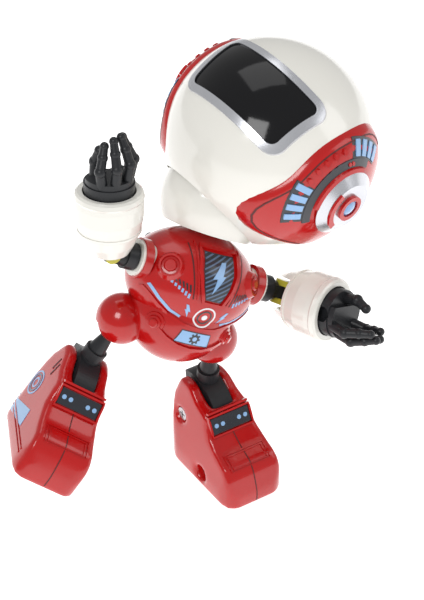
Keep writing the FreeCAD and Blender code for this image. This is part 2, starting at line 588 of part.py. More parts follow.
def build():
    """Every piece, with the body it rides on."""
    rows = []
    front, rear = torso_shells()
    rows += [("torso_front_shell", "torso", front), ("torso_rear_shell", "torso", rear)]
    rows.append(("torso_screws", "torso", Part.Compound(torso_screws())))
    rows += [("neck_post", "neck_post", neck_post()), ("neck_guard", "neck_post", neck_guard())]
    rows.append(("neck_cup", "neck_cup", neck_cup()))
    for name, side in SIDES:
        halves = foot_pieces(side)
        bush = shift(sided(SHOULDER, side))
        ring = shoulder_bush() if side == 1 else mirrored(shoulder_bush())
        ring.Placement = bush.multiply(ring.Placement)
        down = shift(V(0, 0, -LEG_LENGTH))
        stem = leg_stem()
        stem.Placement = down.multiply(stem.Placement)
        plain = [upper_arm(), elbow_fork(), elbow_pin(), forearm_cuff(), hand()]
        arm = plain if side == 1 else [mirrored(piece) for piece in plain]
        rows += [
            ("foot_%s_inner_half" % name, "foot_" + name, halves[0]),
            ("foot_%s_outer_half" % name, "foot_" + name, halves[1]),
            ("foot_%s_screw" % name, "foot_" + name, halves[2]),
            ("ankle_pin_" + name, "foot_" + name, halves[3]),
            ("ankle_knuckle_" + name, "knuckle_" + name, knuckle()),
            ("leg_stem_" + name, "leg_" + name, stem),
            ("hip_ball_" + name, "leg_" + name, hip_ball()),
            ("hip_cup_" + name, "hip_cup_" + name, hip_cup(side)),
            ("shoulder_bush_" + name, "torso", ring),
            ("upper_arm_" + name, "arm_" + name, arm[0]),
            ("elbow_fork_" + name, "forearm_" + name, arm[1]),
            ("elbow_pin_" + name, "forearm_" + name, arm[2]),
            ("forearm_cuff_" + name, "forearm_" + name, arm[3]),
            ("hand_" + name, "hand_" + name, arm[4]),
            ("ear_cover_" + name, "head", ear_cover(side)),
            ("ear_disc_" + name, "head", ear_disc(side)),
            ("ear_boss_" + name, "head", ear_boss(side)),
            ("ear_lens_" + name, "head", ear_lens(side)),
        ]
    front, rear = head_shells()
    rows += [("head_front_shell", "head", front), ("head_rear_shell", "head", rear)]
    rows += [("visor_lens", "head", visor_lens()), ("visor_bezel", "head", visor_bezel())]
    rows += list(zip(("battery_door", "battery_door_screw", "button_cells"), ("head",) * 3, battery_parts()))
    rows += list(zip(("circuit_board", "eye_lights", "speaker"), ("head",) * 3, electronics()))
    return rows


def main():
    """Write every piece where it stands."""
    frames = body_frames()
    for name, body, shape in build():
        save(name, shape, frames[body])
        print(name, body, len(shape.Solids), round(shape.Volume, 1), shape.isValid())


if __name__ == "__main__":
    main()
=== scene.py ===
import logging
import math
from dataclasses import dataclass
from enum import Enum

import bmesh
import bpy
from mathutils import Matrix, Vector
from mathutils.bvhtree import BVHTree


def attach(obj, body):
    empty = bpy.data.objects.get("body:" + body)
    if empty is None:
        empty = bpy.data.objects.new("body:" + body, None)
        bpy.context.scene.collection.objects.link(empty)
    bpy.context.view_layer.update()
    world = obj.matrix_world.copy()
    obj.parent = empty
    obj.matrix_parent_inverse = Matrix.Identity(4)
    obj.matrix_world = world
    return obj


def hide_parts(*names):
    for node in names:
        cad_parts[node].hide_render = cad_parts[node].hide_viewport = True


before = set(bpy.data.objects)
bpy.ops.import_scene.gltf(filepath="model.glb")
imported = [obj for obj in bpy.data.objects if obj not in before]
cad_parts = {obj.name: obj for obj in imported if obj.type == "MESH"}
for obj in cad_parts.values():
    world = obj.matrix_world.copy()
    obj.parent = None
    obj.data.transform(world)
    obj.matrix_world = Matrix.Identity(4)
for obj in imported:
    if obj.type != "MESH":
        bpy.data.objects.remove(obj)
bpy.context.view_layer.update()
log = logging.getLogger("toy_robot")

MM = 0.001
SIDES = (("left", 1), ("right", -1))
Outline = list[tuple[float, float]]


# ---- places: the same pose and joints as the frame, in millimetres -------------------
class Axis(Enum):
    """The three axes that the robot's joints turn about."""

    X = "X"
    Y = "Y"
    Z = "Z"


def turn(axis: Axis, degrees: float) -> Matrix:
    """A rotation about an axis through the origin."""
    return Matrix.Rotation(math.radians(degrees), 4, axis.value)


def shift(x: float, y: float, z: float) -> Matrix:
    """A translation in millimetres."""
    return Matrix.Translation((x, y, z))


@dataclass(frozen=True)
class LegPose:
    """Whole-degree joint angles of one leg, and the joint places it shares with the other."""

    swing: float
    spread: float
    rotate: float
    ankle: float
    hip: tuple[float, float, float] = (14.0, 3.0, 0.0)
    length: float = 26.5
    pin: tuple[float, float] = (10.5, 16.0)

    def frames(self, torso: Matrix, side: int) -> dict[str, Matrix]:
        """Works out where the leg's parts stand.

        Args:
            torso: The torso's own place.
            side: 1 for left, -1 for right.

        Returns:
            The places of the hip, knuckle and foot.
        """
        hip = torso @ shift(self.hip[0] * side, self.hip[1], self.hip[2])
        leg = hip @ turn(Axis.X, self.swing) @ turn(Axis.Y, self.spread)
        knuckle = leg @ turn(Axis.Z, self.rotate) @ shift(0, 0, -self.length)
        foot = knuckle @ turn(Axis.X, self.ankle) @ shift(0, -self.pin[0], -self.pin[1])
        return {"hip": hip, "leg": leg, "knuckle": knuckle, "foot": foot}


@dataclass(frozen=True)
class ArmPose:
    """Whole-degree joint angles of one arm."""

    lift: float
    bend: float
    wrist: float
    shoulder: tuple[float, float, float] = (18.0, -2.5, 17.4)
    elbow: float = 8.4

    def frames(self, torso: Matrix, side: int) -> dict[str, Matrix]:
        """Works out where the arm's parts stand; they are built along +X for the left.

        Args:
            torso: The torso's own place.
            side: 1 for left, -1 for right.

        Returns:
            The places of the upper arm, forearm and hand.
        """
        mirror = Matrix.Scale(-1, 4, (1, 0, 0)) if side < 0 else Matrix.Identity(4)
        arm = torso @ shift(self.shoulder[0] * side, self.shoulder[1], self.shoulder[2])
        arm = arm @ turn(Axis.X, -self.lift)
        forearm = arm @ shift(self.elbow * side, 0, 0) @ turn(Axis.Z, -self.bend * side)
        hand = forearm @ turn(Axis.X, self.wrist)
        return {"arm": arm @ mirror, "forearm": forearm @ mirror, "hand": hand @ mirror}


@dataclass(frozen=True)
class NeckPose:
    """Whole-degree angles of the three crossed neck hinges."""

    yaw: float = -55
    pitch: float = -29
    roll: float = 19
    height: float = 36.6
    head: tuple[float, float, float] = (0.0, -3.6, 20.2)

    def head_frame(self, torso: Matrix) -> Matrix:
        """The helmet's place, with its middle as the origin."""
        pivot = torso @ shift(0, 0, self.height) @ turn(Axis.Z, self.yaw)
        return pivot @ turn(Axis.X, self.pitch) @ turn(Axis.Y, self.roll) @ shift(*self.head)


LEGS = {"left": LegPose(28, -25, 18, -9), "right": LegPose(26, 7, -13, -6)}
ARMS = {"left": ArmPose(3, 66, 10), "right": ArmPose(77, 66, -20)}
TORSO = LEGS["left"].frames(Matrix.Identity(4), 1)["foot"].inverted()
HEAD = NeckPose().head_frame(TORSO)


# ---- finishes ------------------------------------------------------------------------
@dataclass(frozen=True)
class Finish:
    """A moulded, painted or metal surface: base colour with faint mottling, grain and gloss that varies."""

    name: str
    colour: tuple[float, float, float]
    shade: tuple[float, float, float]
    roughness: float = 0.25
    spread: float = 0.08
    metallic: float = 0.0
    coat: float = 0.0
    grain: float = 900.0
    relief: float = 0.04
    transmission: float = 0.0
    specular: float = 0.5

    def material(self) -> bpy.types.Material:
        """The finish as a material, made once."""
        ready = bpy.data.materials.get(self.name)
        return ready if ready else self.build()

    def build(self) -> bpy.types.Material:
        """Wires the shader.

        Returns:
            The new material.
        """
        material = bpy.data.materials.new(self.name)
        material.use_nodes = True
        tree = material.node_tree
        shader = tree.nodes["Principled BSDF"]
        shader.inputs["Metallic"].default_value = self.metallic
        shader.inputs["Coat Weight"].default_value = self.coat
        shader.inputs["Coat Roughness"].default_value = 0.04
        shader.inputs["Transmission Weight"].default_value = self.transmission
        shader.inputs["Specular IOR Level"].default_value = self.specular
        place = tree.nodes.new("ShaderNodeTexCoord").outputs["Object"]
        broad = self.noise(tree, place, self.grain / 12, 3.0)
        fine = self.noise(tree, place, self.grain, 2.0)
        blend = tree.nodes.new("ShaderNodeMix")
        blend.data_type = "RGBA"
        blend.inputs["A"].default_value = (*self.colour, 1)
        blend.inputs["B"].default_value = (*self.shade, 1)
        tree.links.new(broad, blend.inputs["Factor"])
        tree.links.new(blend.outputs["Result"], shader.inputs["Base Color"])
        gloss = tree.nodes.new("ShaderNodeMapRange")
        gloss.inputs["To Min"].default_value = max(0.02, self.roughness - self.spread)
        gloss.inputs["To Max"].default_value = self.roughness + self.spread
        tree.links.new(broad, gloss.inputs["Value"])
        tree.links.new(gloss.outputs["Result"], shader.inputs["Roughness"])
        bump = tree.nodes.new("ShaderNodeBump")
        bump.inputs["Strength"].default_value = self.relief
        bump.inputs["Distance"].default_value = 0.0001
        tree.links.new(fine, bump.inputs["Height"])
        tree.links.new(bump.outputs["Normal"], shader.inputs["Normal"])
        return material

    def noise(self, tree: bpy.types.NodeTree, place: bpy.types.NodeSocket, scale: float,
              detail: float) -> bpy.types.NodeSocket:
        """Adds a noise pattern.

        Args:
            tree: The material's nodes.
            place: Coordinates to read.
            scale: Features per metre.
            detail: Octaves.

        Returns:
            The pattern's value socket.
        """
        node = tree.nodes.new("ShaderNodeTexNoise")
        node.inputs["Scale"].default_value = scale
        node.inputs["Detail"].default_value = detail
        tree.links.new(place, node.inputs["Vector"])
        return node.outputs["Fac"]


RED = Finish("red_paint", (0.50, 0.004, 0.004), (0.38, 0.003, 0.003), 0.20, 0.05, coat=0.35, grain=700,
             specular=0.4)
RED_PLASTIC = Finish("red_plastic", (0.52, 0.005, 0.005), (0.40, 0.004, 0.004), 0.20, 0.05, coat=0.3,
                     grain=650, specular=0.4)
IVORY = Finish("ivory_plastic", (0.80, 0.785, 0.73), (0.76, 0.745, 0.69), 0.17, 0.05, coat=0.5, grain=500)
BLACK = Finish("black_nylon", (0.013, 0.014, 0.016), (0.022, 0.023, 0.026), 0.36, 0.08, grain=1500,
               relief=0.12, specular=0.3)
SILVER = Finish("silver_paint", (0.66, 0.67, 0.70), (0.52, 0.53, 0.57), 0.24, 0.08, metallic=0.75, grain=1100)
VISOR = Finish("visor_acrylic", (0.004, 0.004, 0.005), (0.007, 0.007, 0.008), 0.09, 0.03, grain=60,
               relief=0.01, specular=0.3)
YELLOW = Finish("yellow_acetal", (0.55, 0.50, 0.05), (0.48, 0.42, 0.04), 0.35, 0.08)
STEEL = Finish("plated_steel", (0.60, 0.60, 0.62), (0.48, 0.48, 0.50), 0.22, 0.08, metallic=1.0, grain=1600)
BLUE_LENS = Finish("blue_lens", (0.25, 0.48, 0.80), (0.16, 0.36, 0.70), 0.10, 0.03, coat=1.0,
                   transmission=0.2)
BOARD = Finish("board_green", (0.02, 0.16, 0.06), (0.01, 0.10, 0.04), 0.4, 0.08)
CELL = Finish("cell_steel", (0.58, 0.58, 0.60), (0.45, 0.45, 0.47), 0.3, 0.08, metallic=1.0)
PRINT_BLUE = Finish("print_pale_blue", (0.26, 0.45, 0.72), (0.22, 0.40, 0.66), 0.28, 0.05, coat=0.4)
PRINT_DARK = Finish("print_black", (0.010, 0.012, 0.018), (0.018, 0.020, 0.028), 0.28, 0.06, coat=0.3)
PRINT_GREY = Finish("print_grey_blue", (0.10, 0.16, 0.26), (0.08, 0.13, 0.22), 0.3, 0.06, coat=0.3)
PRINT_WHITE = Finish("print_white", (0.78, 0.78, 0.80), (0.70, 0.70, 0.73), 0.3, 0.05, coat=0.3)
GROOVE = Finish("groove_shadow", (0.10, 0.004, 0.004), (0.06, 0.003, 0.003), 0.5, 0.1)


# ---- shaping -------------------------------------------------------------------------
class Surface:
    """A surface that thin pieces are laid on: lift() gives a point on it, raised by a height."""

    def lift(self, a: float, b: float, height: float) -> Vector:
        """The point over (a, b)."""
        raise NotImplementedError


@dataclass(frozen=True)
class Front(Surface):
    """The forward face of a stack of ellipsoids, over (x, z): each is (centre z, x, y and z half-size)."""

    forms: tuple[tuple[float, float, float, float], ...]

    def depth(self, x: float, z: float) -> float:
        """How far forward the face stands at (x, z)."""
        best = 0.0
        for centre, half_x, half_y, half_z in self.forms:
            left = 1 - (x / half_x) ** 2 - ((z - centre) / half_z) ** 2
            best = max(best, half_y * math.sqrt(max(0.0, left)))
        return best

    def normal(self, x: float, z: float) -> Vector:
        """The outward direction at (x, z)."""
        step = 0.2
        slope_x = (self.depth(x + step, z) - self.depth(x - step, z)) / (2 * step)
        slope_z = (self.depth(x, z + step) - self.depth(x, z - step)) / (2 * step)
        return Vector((-slope_x, -1, -slope_z)).normalized()

    def lift(self, a: float, b: float, height: float) -> Vector:
        """The point over (x, z), raised along the outward direction."""
        return Vector((a, -self.depth(a, b), b)) + self.normal(a, b) * height


@dataclass(frozen=True)
class Ear(Surface):
    """The helmet's side, over (y, z), for one side of the head."""

    side: int
    half: tuple[float, float, float] = (27.8, 26.8, 27.2)

    def lift(self, a: float, b: float, height: float) -> Vector:
        """The point over (y, z), raised along the outward direction."""
        grown = [size + height for size in self.half]
        left = 1 - (a / grown[1]) ** 2 - (b / grown[2]) ** 2
        return Vector((self.side * grown[0] * math.sqrt(max(0.0, left)), a, b))


@dataclass(frozen=True)
class FootSide(Surface):
    """The boot's leaning flank, over (y, z)."""

    side: int
    knots: tuple[tuple[float, float], ...] = ((0.0, 9.3), (5.0, 9.3), (19.0, 7.5), (27.4, 6.3))

    def lift(self, a: float, b: float, height: float) -> Vector:
        """The point over (y, z), raised straight out."""
        width = self.knots[-1][1]
        for (low, wide), (high, narrow) in zip(self.knots, self.knots[1:]):
            if low <= b <= high:
                width = wide + (narrow - wide) * (b - low) / (high - low)
        return Vector((self.side * (width + height), a, b))


@dataclass(frozen=True)
class Flat(Surface):
    """A flat face: a middle, two directions along it and its outward direction."""

    middle: Vector
    along: Vector
    up: Vector

    def lift(self, a: float, b: float, height: float) -> Vector:
        """The point (a, b) of the face, raised."""
        return self.middle + self.along * a + self.up * b + self.along.cross(self.up) * height


@dataclass(frozen=True)
class SeamLine(Surface):
    """The boot's profile down the middle, over (x, distance along the profile)."""

    profile: tuple[tuple[float, float], ...] = (
        (-3.4, 17.4), (-7.4, 14.6), (-12.4, 12.4), (-14.2, 9.6), (-16.0, 4.4), (-16.0, 0.6))

    @property
    def route(self) -> Outline:
        """The seam itself."""
        return [(0, i) for i in range(len(self.profile))]

    def lift(self, a: float, b: float, height: float) -> Vector:
        """The point over (x, place along the profile), raised."""
        index = min(len(self.profile) - 2, int(b))
        (y, z), (y2, z2) = self.profile[index], self.profile[index + 1]
        part = b - index
        run = Vector((0, y2 - y, z2 - z)).normalized()
        out = Vector((0, run.z, -run.y))
        return Vector((a, y + (y2 - y) * part, z + (z2 - z) * part)) + out * height


@dataclass(frozen=True)
class Skin(Surface):
    """The skin of a finished mesh, found from a rougher surface that runs close to it."""

    tree: BVHTree
    guess: Surface
    reach: float = 1.5

    def lift(self, a: float, b: float, height: float) -> Vector:
        """The point of the skin nearest to the rough surface's (a, b), raised along the skin's normal."""
        near, normal, _, _ = self.tree.find_nearest(self.guess.lift(a, b, self.reach))
        return near + normal * height


def finish_piece(name: str, bm: bmesh.types.BMesh, look: Finish, body: str, place: Matrix,
                 replaces: tuple[str, ...] = (), flat: bool = False) -> bpy.types.Object:
    """Turns a mesh into a finished piece of the robot.

    Args:
        name: The piece's name.
        bm: Its mesh in local millimetres.
        look: Its finish.
        body: The moving body that it rides on.
        place: The place of its local frame.
        replaces: CAD nodes that it stands for.
        flat: True to keep its faces flat.

    Returns:
        The new object, at the origin.
    """
    bmesh.ops.remove_doubles(bm, verts=bm.verts, dist=0.0005)
    bm.transform(Matrix.Scale(MM, 4) @ place)
    bmesh.ops.recalc_face_normals(bm, faces=bm.faces)
    mesh = bpy.data.meshes.new(name)
    bm.to_mesh(mesh)
    bm.free()
    mesh.polygons.foreach_set("use_smooth", [not flat] * len(mesh.polygons))
    mesh.materials.append(look.material())
    piece = bpy.data.objects.new(name, mesh)
    bpy.context.scene.collection.objects.link(piece)
    if not flat:
        mesh.set_sharp_from_angle(angle=math.radians(38))
    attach(piece, body)
    if replaces:
        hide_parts(*replaces)
    log.info("%s rides on %s, %d faces", name, body, len(mesh.polygons))
    return piece


def lathe(profile: Outline, steps: int = 48) -> bmesh.types.BMesh:
    """A turned piece about local Z.

    Args:
        profile: (radius, height) pairs; a zero radius closes it on the axis.
        steps: Faces round.

    Returns:
        The mesh.
    """
    bm = bmesh.new()
    verts = [bm.verts.new((radius, 0, height)) for radius, height in profile]
    edges = [bm.edges.new(pair) for pair in zip(verts, verts[1:])]
    bmesh.ops.spin(bm, geom=verts + edges, cent=(0, 0, 0), axis=(0, 0, 1), angle=math.tau, steps=steps,
                   use_merge=True)
    bmesh.ops.remove_doubles(bm, verts=bm.verts, dist=0.001)
    return bm


def stand(bm: bmesh.types.BMesh, at: Vector, out: Vector) -> bmesh.types.BMesh:
    """Stands a turned piece on a point, its Z along an outward direction."""
    bm.transform(Matrix.Translation(at) @ out.to_track_quat("Z", "Y").to_matrix().to_4x4())
    return bm


def join(target: bmesh.types.BMesh, extra: bmesh.types.BMesh) -> bmesh.types.BMesh:
    """Adds one mesh to another."""
    loose = bpy.data.meshes.new("loose")
    extra.to_mesh(loose)
    extra.free()
    target.from_mesh(loose)
    bpy.data.meshes.remove(loose)
    return target


def everything(bm: bmesh.types.BMesh) -> list[bmesh.types.BMVert | bmesh.types.BMEdge | bmesh.types.BMFace]:
    """All of a mesh's parts, for an operator."""
    return bm.verts[:] + bm.edges[:] + bm.faces[:]


def patch(outline: Outline, surface: Surface, low: float, high: float,
          grid: float = 0.8) -> bmesh.types.BMesh:
    """A thin closed plate with a convex outline, laid on a surface.

    Args:
        outline: Corners (a, b) in anticlockwise order.
        surface: What it lies on.
        low: Height of its underside.
        high: Height of its face.
        grid: Size of its facets.

    Returns:
        The mesh.
    """
    low_a, high_a = min(p[0] for p in outline), max(p[0] for p in outline)
    low_b, high_b = min(p[1] for p in outline), max(p[1] for p in outline)
    bm = bmesh.new()
    count_a = max(1, round((high_a - low_a) / grid))
    count_b = max(1, round((high_b - low_b) / grid))
    bmesh.ops.create_grid(bm, x_segments=count_a, y_segments=count_b, size=0.5)
    middle = Vector(((low_a + high_a) / 2, (low_b + high_b) / 2, 0))
    bm.transform(Matrix.Translation(middle) @ Matrix.Diagonal((high_a - low_a, high_b - low_b, 1, 1)))
    for (a, b), (c, d) in zip(outline, outline[1:] + outline[:1]):
        out = Vector((d - b, a - c, 0)).normalized()
        bmesh.ops.bisect_plane(bm, geom=everything(bm), plane_co=(a, b, 0), plane_no=out, clear_outer=True)
    return thicken(bm, surface, low, high)


def thicken(bm: bmesh.types.BMesh, surface: Surface, low: float, high: float) -> bmesh.types.BMesh:
    """Gives a flat sheet in (a, b) a thickness and lays it on a surface.

    Args:
        bm: The sheet, at local z = 0.
        surface: What it lies on.
        low: Height of its underside.
        high: Height of its face.

    Returns:
        The same mesh, closed.
    """
    made = bmesh.ops.extrude_face_region(bm, geom=bm.faces[:], use_keep_orig=True)
    top = {v for v in made["geom"] if isinstance(v, bmesh.types.BMVert)}
    for vert in bm.verts:
        vert.co = surface.lift(vert.co.x, vert.co.y, high if vert in top else low)
    return bm


def plate(outline: Outline, surface: Surface, low: float, high: float) -> bmesh.types.BMesh:
    """A small plate with any outline, convex or not, laid on a surface."""
    bm = bmesh.new()
    bm.faces.new([bm.verts.new((a, b, 0)) for a, b in outline])
    return thicken(bm, surface, low, high)


def band(route: Outline, width: float, surface: Surface, low: float, high: float, closed: bool = False,
         cuts: int = 4) -> bmesh.types.BMesh:
    """A strip of even width along a route on a surface.

    Args:
        route: Points (a, b) along its middle.
        width: Its width.
        surface: What it lies on.
        low: Height of its underside.
        high: Height of its face.
        closed: True if it runs back to its start.
        cuts: Extra points on each run.

    Returns:
        The mesh.
    """
    points = [Vector((a, b)) for a, b in route]
    if closed:
        points.append(points[0])
    fine = []
    for start, end in zip(points, points[1:]):
        fine += [start.lerp(end, i / (cuts + 1)) for i in range(cuts + 1)]
    if not closed:
        fine.append(points[-1])
    bm = bmesh.new()
    rows = []
    for i, point in enumerate(fine):
        before = fine[i - 1] if closed or i else point
        after = fine[(i + 1) % len(fine)] if closed or i < len(fine) - 1 else point
        run = (after - before).normalized()
        side = Vector((-run.y, run.x)) * width / 2
        rows.append([bm.verts.new((*(point + side), 0)), bm.verts.new((*(point - side), 0))])
    for this, following in zip(rows, rows[1:] + (rows[:1] if closed else [])):
        bm.faces.new((this[0], this[1], following[1], following[0]))
    return thicken(bm, surface, low, high)


def circle(radius: float, at: tuple[float, float], count: int = 32) -> Outline:
    """A round outline, anticlockwise."""
    steps = [math.tau * i / count for i in range(count)]
    return [(at[0] + radius * math.cos(s), at[1] + radius * math.sin(s)) for s in steps]


def box_at(at: tuple[float, float], width: float, height: float) -> Outline:
    """A rectangle's outline, anticlockwise."""
    a, b, w, h = at[0], at[1], width / 2, height / 2
    return [(a - w, b - h), (a + w, b - h), (a + w, b + h), (a - w, b + h)]


def flipped(outline: Outline, side: int) -> Outline:
    """An outline for one side of the robot, still anticlockwise."""
    return outline if side > 0 else [(-a, b) for a, b in reversed(outline)]


def melted(bm: bmesh.types.BMesh, voxel: float, rounds: int) -> bmesh.types.BMesh:
    """Rounds every edge of a closed mesh over, by voxels and even smoothing.

    Args:
        bm: The mesh, which is used up.
        voxel: Size of the new facets.
        rounds: Rounds of smoothing; more gives rounder edges.

    Returns:
        The rounded mesh.
    """
    rough = bpy.data.meshes.new("rough")
    bm.to_mesh(rough)
    bm.free()
    holder = bpy.data.objects.new("rough", rough)
    bpy.context.scene.collection.objects.link(holder)
    voxels = holder.modifiers.new("voxels", "REMESH")
    voxels.mode = "VOXEL"
    voxels.voxel_size = voxel
    done = bpy.data.meshes.new_from_object(holder.evaluated_get(bpy.context.evaluated_depsgraph_get()))
    soft = bmesh.new()
    soft.from_mesh(done)
    for _ in range(rounds):
        bmesh.ops.smooth_vert(soft, verts=soft.verts, factor=0.5, use_axis_x=True, use_axis_y=True,
                              use_axis_z=True)
    bpy.data.objects.remove(holder)
    bpy.data.meshes.remove(rough)
    bpy.data.meshes.remove(done)
    bmesh.ops.recalc_face_normals(soft, faces=soft.faces)
    return soft


# ---- sub-assemblies ------------------------------------------------------------------
@dataclass(frozen=True)
class FrameDress:
    """Gives every CAD node that shows as it is the finish of its piece."""

    looks: tuple[tuple[str, Finish], ...] = (
        ("torso_screws", STEEL), ("torso", RED), ("foot_left_screw", STEEL), ("foot_right_screw", STEEL),
        ("foot", RED), ("ankle_pin", STEEL), ("ankle_knuckle", BLACK), ("leg_stem", BLACK),
        # The hip cups wear the black finish as painted shade: their dark colour stands in for the shadowed
        # gap round each hip ball.
        ("hip_ball", STEEL), ("hip_cup", BLACK), ("shoulder_bush", IVORY), ("upper_arm", BLACK),
        ("elbow_fork", YELLOW), ("elbow_pin", STEEL), ("forearm_cuff", IVORY), ("hand", BLACK), ("ear_cover", RED_PLASTIC),
        ("ear_disc", SILVER), ("ear_boss", RED_PLASTIC), ("ear_lens", BLUE_LENS), ("neck_guard", IVORY),
        ("neck", BLACK), ("head", IVORY), ("visor_lens", VISOR), ("visor_bezel", SILVER),
        ("battery_door_screw", STEEL), ("battery_door", IVORY), ("button_cells", CELL),
        ("circuit_board", BOARD), ("eye_lights", BLUE_LENS), ("speaker", CELL))

    def build(self) -> None:
        """Dresses the nodes."""
        for name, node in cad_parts.items():
            for start, look in self.looks:
                if name.startswith(start):
                    node.data.materials.clear()
                    node.data.materials.append(look.material())
                    log.info("%s dressed in %s", name, look.name)
                    break


@dataclass(frozen=True)
class Torso:
    """The red body's raised trim and printed marks."""

    forms: tuple[tuple[float, float, float, float], ...] = ((14.6, 17.9, 14.9, 13.8), (6.0, 14.4, 12.4, 13.6))
    shield: tuple[tuple[float, float], ...] = (
        (-2.2, 12.8), (2.2, 12.8), (3.6, 16.0), (4.5, 20.0), (4.3, 24.4), (-4.3, 24.4),
        (-4.5, 20.0), (-3.6, 16.0))
    boss_at: tuple[float, float] = (12.3, 18.6)
    low_boss_at: tuple[float, float] = (10.6, 3.2)
    ring_at: tuple[float, float] = (0.0, 8.0)
    gear_at: tuple[float, float] = (0.0, 1.75)
    gear_teeth: int = 8
    print_height: float = 0.10

    @property
    def front(self) -> Front:
        """The forward face."""
        return Front(self.forms)

    def add(self, name: str, bm: bmesh.types.BMesh, look: Finish, slot: str = "red_gloss") -> None:
        """Finishes a piece of the torso."""
        finish_piece(name, bm, look, "torso", TORSO)

    def bosses(self) -> None:
        """The ringed buttons on the chest and at the hips."""
        chest = [(0, 1.3), (1.3, 1.3), (1.6, 1.0), (1.7, 0.5), (2.3, 0.45), (2.5, 0.9), (3.0, 0.9),
                 (3.3, 0.3), (3.8, -0.6), (0, -0.6)]
        hip = [(0, 1.7), (0.9, 1.7), (1.2, 1.4), (1.25, 0.9), (1.8, 0.8), (1.95, 0.2), (2.6, 0.1),
               (2.9, -0.8), (0, -0.8)]
        for side, sign in SIDES:
            for kind, profile, (x, z) in (("chest", chest, self.boss_at), ("hip", hip, self.low_boss_at)):
                bm = stand(lathe(profile), self.front.lift(x * sign, z, 0), self.front.normal(x * sign, z))
                self.add(f"{kind}_boss_{side}", bm, RED)

    def shield_plate(self) -> None:
        """The dark plate in its raised border, with slanted lines and a flash."""
        outline = list(self.shield)
        self.add("shield_plate", patch(outline, self.front, -0.3, self.print_height), PRINT_DARK)
        grown = [(a * 1.22, b + (0.75 if b > 20 else -0.75 if b < 15 else 0)) for a, b in outline]
        self.add("shield_border", band(grown, 0.8, self.front, -0.3, 0.7, closed=True), RED)
        lines = bmesh.new()
        for i in range(15):
            base = 9.0 + i * 1.2
            line = self.clipped([(-5.0, base), (5.0, base + 6.5)], 0.36)
            if line:
                join(lines, patch(line, self.front, 0, self.print_height + 0.06))
        self.add("shield_lines", lines, PRINT_GREY)
        flash = bmesh.new()
        for part in ([(-1.9, 18.3), (0.9, 18.9), (1.7, 22.8), (0.4, 22.6)],
                     [(-1.2, 14.6), (1.9, 19.6), (-0.4, 19.2)]):
            join(flash, patch(part, self.front, 0, self.print_height + 0.14, 0.4))
        self.add("shield_flash", flash, PRINT_BLUE)

    def clipped(self, run: Outline, width: float) -> Outline:
        """Cuts a straight strip to the shield's outline.

        Args:
            run: The strip's two ends.
            width: Its width.

        Returns:
            The outline left, or nothing.
        """
        start, end = Vector(run[0]), Vector(run[1])
        side = Vector((-(end - start).y, (end - start).x)).normalized() * width / 2
        shape = [start - side, end - side, end + side, start + side]
        corners = [Vector(p) * 0.96 + Vector((0, 18.6)) * 0.04 for p in self.shield]
        for here, following in zip(corners, corners[1:] + corners[:1]):
            edge = following - here
            kept = []
            for p, q in zip(shape, shape[1:] + shape[:1]):
                at_p, at_q = edge.cross(p - here), edge.cross(q - here)
                if at_p >= 0:
                    kept.append(p)
                if at_p * at_q < 0:
                    kept.append(p.lerp(q, at_p / (at_p - at_q)))
            shape = kept
            if len(shape) < 3:
                return []
        return [(p.x, p.y) for p in shape]

    def grooves(self) -> None:
        """Moulded lines down the chest, and the step over the belly."""
        for side, sign in SIDES:
            run = [(8.0 * sign, 25.0), (7.0 * sign, 19.0), (5.4 * sign, 12.2)]
            self.add(f"chest_groove_{side}", band(run, 0.36, self.front, 0, 0.05), GROOVE)
            rail = [(6.4 * sign, 25.6), (5.9 * sign, 19.0), (4.3 * sign, 12.4)]
            self.add(f"chest_rail_{side}", band(rail, 0.5, self.front, -0.3, 0.45), RED)
        belly = [(-16.2, 11.4), (-12.0, 8.2), (-8.5, 6.2), (-4.5, 4.9), (0, 4.5), (4.5, 4.9), (8.5, 6.2),
                 (12.0, 8.2), (16.2, 11.4)]
        self.add("belly_step", band(belly, 0.7, self.front, -0.3, 0.4), RED)
        lip = [(a * 0.84, b - 5.9) for a, b in belly[1:-1]]
        self.add("belly_lip", band(lip, 0.9, self.front, -0.3, 0.55), RED)

    def prints(self) -> None:
        """Blue stripes, slots, flashes, the ring mark and the gear panel."""
        height = self.print_height
        for side, sign in SIDES:
            stripe = [(-15.4, 12.6), (-12.5, 9.9), (-9.0, 7.6), (-6.0, 6.6)]
            run = [(-a * sign, b) for a, b in stripe]
            self.add(f"belly_stripe_{side}", band(run, 0.65, self.front, 0, height), PRINT_BLUE)
            slots, bars = bmesh.new(), bmesh.new()
            for i in range(6):
                x = 6.4 + i * 0.95
                top, low = 15.6 + 0.18 * i, 13.6 + 0.42 * i
                slot = [(x, low), (x + 0.45, low + 0.18), (x + 0.95, top), (x + 0.5, top)]
                join(slots, patch(flipped(slot, sign), self.front, 0, height))
                foot = low - 1.5 + 0.1 * i
                bar = [(x, foot), (x + 0.55, foot + 0.1), (x + 0.55, low - 0.2), (x, low - 0.3)]
                join(bars, patch(flipped(bar, sign), self.front, 0, height))
            self.add(f"chest_slots_{side}", slots, PRINT_DARK)
            self.add(f"chest_bars_{side}", bars, PRINT_BLUE)
            flash = bmesh.new()
            for part in ([(4.4, 8.6), (5.6, 8.9), (6.3, 10.5), (5.6, 10.4)],
                         [(4.4, 7.0), (6.1, 9.1), (5.0, 8.9)]):
                join(flash, patch(flipped(part, sign), self.front, 0, height, 0.4))
            self.add(f"small_flash_{side}", flash, PRINT_BLUE)
        rings = (("outer", 2.75, 0.42, PRINT_WHITE), ("inner", 1.75, 0.34, PRINT_DARK))
        for name, radius, width, look in rings:
            ring = band(circle(radius, self.ring_at), width, self.front, 0, height, closed=True, cuts=0)
            self.add(f"ring_mark_{name}", ring, look)
        dot = patch(circle(0.75, self.ring_at, 16), self.front, 0, height + 0.03)
        self.add("ring_mark_dot", dot, PRINT_WHITE)
        panel = [(-5.0, 0.0), (5.0, 0.0), (4.2, 3.5), (-4.2, 3.5)]
        self.add("gear_panel", patch(panel, self.front, 0, height), PRINT_BLUE)
